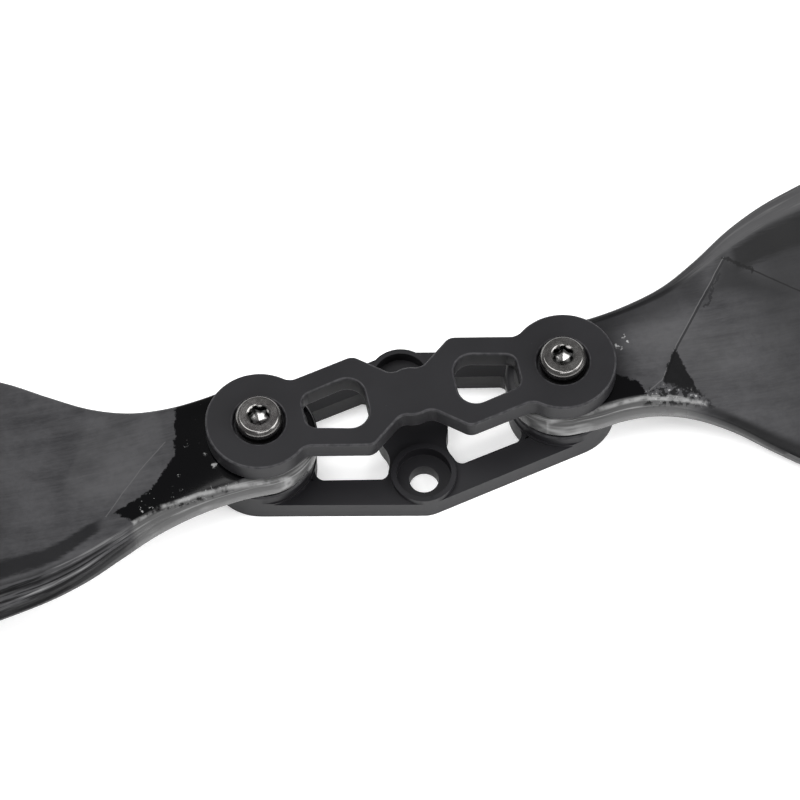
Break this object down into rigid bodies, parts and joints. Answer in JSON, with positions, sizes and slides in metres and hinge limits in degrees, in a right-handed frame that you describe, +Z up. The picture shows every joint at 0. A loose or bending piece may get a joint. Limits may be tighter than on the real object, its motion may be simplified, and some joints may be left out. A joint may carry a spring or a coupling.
{
  "type": "folding_propeller",
  "caption": "Two-blade folding propeller: moulded carbon blades on screw pivots, held between a flat black hub base and a top clip",
  "frame": {"origin": "centre of the hub base's bottom face, midway between the two mount holes and midway between the two pivots", "axes": "+X towards the right blade's tip with both blades spread, +Z up from the motor's side through the hub base to the top clip, +Y towards the right blade's leading edge"},
  "size_m": [0.559, 0.043, 0.0127],
  "materials": {
    "anodised_black": "satin black anodised",
    "screw_steel": "dark zinc-plated steel",
    "sleeve_steel": "turned steel",
    "washer_plastic": "matt black",
    "carbon_skin": "carbon fibre in epoxy, semi-gloss",
    "foam": "rigid foam",
    "root_plate": "glass laminate plate",
    "bush_brass": "turned brass"
  },
  "bodies": {
    "hub": {"hub_base": "anodised_black", "top_clip": "anodised_black", "pivot_screw_right": "screw_steel", "pivot_sleeve_right": "sleeve_steel", "lower_washer_right": "washer_plastic", "upper_washer_right": "washer_plastic", "pivot_screw_left": "screw_steel", "pivot_sleeve_left": "sleeve_steel", "lower_washer_left": "washer_plastic", "upper_washer_left": "washer_plastic"},
    "blade_right": {"upper_skin_right": "carbon_skin", "lower_skin_right": "carbon_skin", "foam_core_right": "foam", "root_block_right": "root_plate", "root_bush_right": "bush_brass"},
    "blade_left": {"upper_skin_left": "carbon_skin", "lower_skin_left": "carbon_skin", "foam_core_left": "foam", "root_block_left": "root_plate", "root_bush_left": "bush_brass"}
  },
  "joints": [
    {"name": "fold_right", "type": "hinge", "parent": "hub", "child": "blade_right", "pos_m": [0.01675, 0, 0.0069], "axis": [0, 0, 1], "range_deg": [-90, 90]},
    {"name": "fold_left", "type": "hinge", "parent": "hub", "child": "blade_left", "pos_m": [-0.01675, 0, 0.0069], "axis": [0, 0, 1], "range_deg": [-90, 90]}
  ]
}
